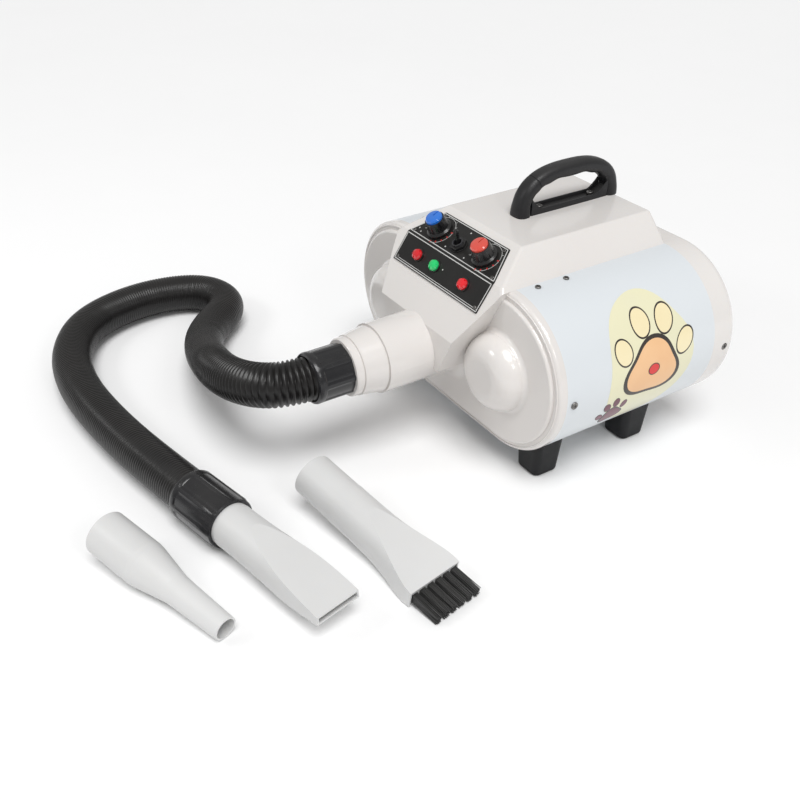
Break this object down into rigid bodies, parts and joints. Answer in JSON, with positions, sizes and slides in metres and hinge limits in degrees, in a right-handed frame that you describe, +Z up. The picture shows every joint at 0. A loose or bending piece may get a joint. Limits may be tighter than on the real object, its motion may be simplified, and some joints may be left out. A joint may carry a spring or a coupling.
{
  "type": "pet dryer",
  "caption": "Twin-motor forced-air pet dryer with a flexible hose, a cone nozzle, a brush nozzle, a fitted flat nozzle and a sloping control panel.",
  "frame": {"origin": "on the floor, in the middle of the four feet", "axes": "+Z up, -Y the way the air spout points, +X the printed side of the casing"},
  "size_m": [0.7072, 0.7012, 0.2865],
  "materials": {
    "cover_plastic": "satin",
    "sleeve_paint": "satin",
    "black_plastic": "fine grain",
    "foot_rubber": "matte",
    "hose_black": "satin",
    "nozzle_white": "satin",
    "bristle_black": "matte",
    "panel_black": "satin",
    "knob_black": "gloss",
    "cap_blue": "gloss",
    "cap_red": "gloss",
    "lamp_red": "gloss",
    "lamp_green": "gloss",
    "bezel_black": "gloss",
    "screw_steel": "polished",
    "motor_steel": "brushed",
    "fan_aluminium": "satin",
    "field_iron": "matte",
    "brass": "satin",
    "gasket_rubber": "matte",
    "board_green": "matte",
    "component_dark": "matte",
    "mica": "matte",
    "heater_wire": "satin",
    "filter_foam": "open foam",
    "grille_plastic": "satin",
    "shaft_steel": "ground"
  },
  "bodies": {
    "casing": {"air_hose": "hose_black", "board_components": "component_dark", "board_spacers": "component_dark", "body_sleeve": "sleeve_paint", "brush_holders": "brass", "case_screws": "screw_steel", "circuit_board": "board_green", "control_panel": "panel_black", "cord_gland": "black_plastic", "fan_housings": "fan_aluminium", "foot_screws": "screw_steel", "front_cover": "cover_plastic", "front_left_foot": "foot_rubber", "front_right_foot": "foot_rubber", "gland_nut": "black_plastic", "green_lamp": "lamp_green", "handle_base": "black_plastic", "handle_grip": "black_plastic", "handle_screws": "screw_steel", "heater_element": "heater_wire", "heater_frame": "mica", "heatsink": "fan_aluminium", "lamp_bezels": "bezel_black", "motor_bearings": "shaft_steel", "motor_bulkhead": "motor_steel", "motor_cans": "motor_steel", "motor_clamps": "motor_steel", "motor_fields": "field_iron", "motor_gaskets": "gasket_rubber", "nozzle_cuff": "hose_black", "panel_screws": "screw_steel", "rear_cover": "cover_plastic", "rear_left_foot": "foot_rubber", "rear_right_foot": "foot_rubber", "red_lamps": "lamp_red", "rotary_controls": "motor_steel", "spout_collar": "cover_plastic", "spout_cuff": "hose_black", "thermal_cutout": "component_dark", "toggle_nut": "knob_black", "toggle_switch": "component_dark", "top_console": "cover_plastic"},
    "speed_knob": {"speed_knob": "knob_black", "speed_knob_blue_cap": "cap_blue", "speed_shaft": "shaft_steel"},
    "heat_knob": {"heat_knob": "knob_black", "heat_knob_red_cap": "cap_red", "heat_shaft": "shaft_steel"},
    "toggle": {"toggle_lever": "knob_black"},
    "left_rotor": {"left_motor_rotor": "shaft_steel"},
    "right_rotor": {"right_motor_rotor": "shaft_steel"},
    "flat_tool": {"flat_nozzle": "nozzle_white"},
    "cone_tool": {"cone_nozzle": "nozzle_white"},
    "brush_tool": {"brush_nozzle": "nozzle_white", "brush_bristles": "bristle_black"},
    "left_filter": {"left_filter_cover": "grille_plastic", "left_filter_foam": "filter_foam"},
    "right_filter": {"right_filter_cover": "grille_plastic", "right_filter_foam": "filter_foam"}
  },
  "joints": [
    {"name": "speed_knob_turn", "type": "hinge", "parent": "casing", "child": "speed_knob", "pos_m": [-0.04, -0.08496, 0.21986], "axis": [0, -0.4924, 0.8704], "range_deg": [-150, 150]},
    {"name": "heat_knob_turn", "type": "hinge", "parent": "casing", "child": "heat_knob", "pos_m": [0.04, -0.08496, 0.21986], "axis": [0, -0.4924, 0.8704], "range_deg": [-150, 150]},
    {"name": "toggle_flip", "type": "hinge", "parent": "casing", "child": "toggle", "pos_m": [0, -0.08943, 0.21963], "axis": [1, 0, 0], "range_deg": [0, 24]},
    {"name": "left_motor_spin", "type": "hinge", "parent": "casing", "child": "left_rotor", "pos_m": [-0.094, -0.05, 0.117], "axis": [0, 1, 0], "continuous": true},
    {"name": "right_motor_spin", "type": "hinge", "parent": "casing", "child": "right_rotor", "pos_m": [0.094, -0.05, 0.117], "axis": [0, 1, 0], "continuous": true},
    {"name": "flat_nozzle_pull", "type": "slide", "parent": "casing", "child": "flat_tool", "axis": [0.9763, 0.2164, 0], "range_m": [0, 0.06]},
    {"name": "cone_nozzle_lift", "type": "slide", "parent": "casing", "child": "cone_tool", "axis": [0, 0, 1], "range_m": [0, 0.12]},
    {"name": "brush_nozzle_lift", "type": "slide", "parent": "casing", "child": "brush_tool", "axis": [0, 0, 1], "range_m": [0, 0.12]},
    {"name": "left_filter_pull", "type": "slide", "parent": "casing", "child": "left_filter", "axis": [0, 1, 0], "range_m": [0, 0.04]},
    {"name": "right_filter_pull", "type": "slide", "parent": "casing", "child": "right_filter", "axis": [0, 1, 0], "range_m": [0, 0.04]}
  ]
}
